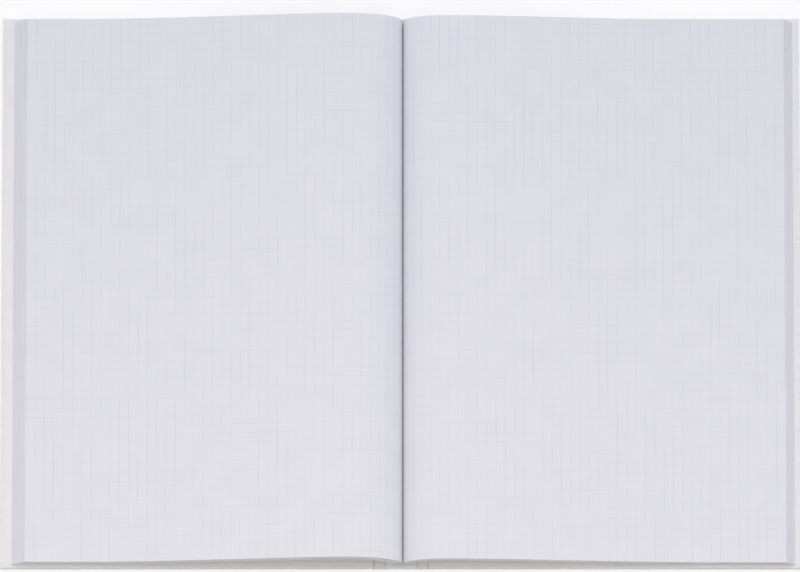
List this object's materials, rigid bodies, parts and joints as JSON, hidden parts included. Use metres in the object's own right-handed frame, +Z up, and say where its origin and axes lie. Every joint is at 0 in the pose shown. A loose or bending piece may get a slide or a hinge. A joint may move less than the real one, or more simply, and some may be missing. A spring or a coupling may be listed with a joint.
{
  "type": "hardcover notebook",
  "caption": "Casebound notebook lying open at the middle, with sewn sections of squared paper arched into the gutter between two hinged cover boards.",
  "frame": {"origin": "on the table under the middle of the spine, halfway between head and tail", "axes": "+X to the reader's right along the open width, +Y to the head of the page, +Z up out of the page"},
  "size_m": [0.427, 0.301, 0.0245],
  "materials": {
    "page_paper": "uncoated paper with a faint squared print",
    "endpaper": "smooth uncoated paper",
    "covering": "fine-grained pale covering",
    "greyboard": "raw greyboard",
    "lining_paper": "kraft paper",
    "gauze": "open starched gauze",
    "thread": "waxed linen thread"
  },
  "bodies": {
    "spine": {"spine_board": "greyboard", "spine_cloth": "covering", "spine_lining": "lining_paper", "mull": "gauze", "sewing_thread": "thread"},
    "front_cover": {"front_board": "greyboard", "front_cloth": "covering", "front_pastedown": "endpaper"},
    "back_cover": {"back_board": "greyboard", "back_cloth": "covering", "back_pastedown": "endpaper"},
    "left_leaves": {"front_flyleaf": "endpaper", "signature_01": "page_paper", "signature_02": "page_paper", "signature_03": "page_paper", "signature_04": "page_paper", "signature_05": "page_paper", "signature_06": "page_paper", "signature_07": "page_paper"},
    "right_leaves": {"signature_08": "page_paper", "signature_09": "page_paper", "signature_10": "page_paper", "signature_11": "page_paper", "signature_12": "page_paper", "back_flyleaf": "endpaper"}
  },
  "joints": [
    {"name": "front_cover_hinge", "type": "hinge", "parent": "spine", "child": "front_cover", "pos_m": [-0.00898, 0, 0.00013], "axis": [0, 1, 0], "range_deg": [0, 90]},
    {"name": "back_cover_hinge", "type": "hinge", "parent": "spine", "child": "back_cover", "pos_m": [0.00898, 0, 0.00013], "axis": [0, -1, 0], "range_deg": [0, 90]},
    {"name": "left_leaves_bend", "type": "hinge", "parent": "spine", "child": "left_leaves", "pos_m": [-0.00898, 0, 0.00013], "axis": [0, 1, 0], "range_deg": [0, 90], "deforming": ["front_flyleaf", "signature_01", "signature_02", "signature_03", "signature_04", "signature_05", "signature_06", "signature_07"]},
    {"name": "right_leaves_bend", "type": "hinge", "parent": "spine", "child": "right_leaves", "pos_m": [0.00898, 0, 0.00013], "axis": [0, -1, 0], "range_deg": [0, 90], "deforming": ["signature_08", "signature_09", "signature_10", "signature_11", "signature_12", "back_flyleaf"]}
  ],
  "couplings": [
    {"joint": "left_leaves_bend", "follows": "front_cover_hinge", "ratio": 1},
    {"joint": "right_leaves_bend", "follows": "back_cover_hinge", "ratio": 1}
  ]
}
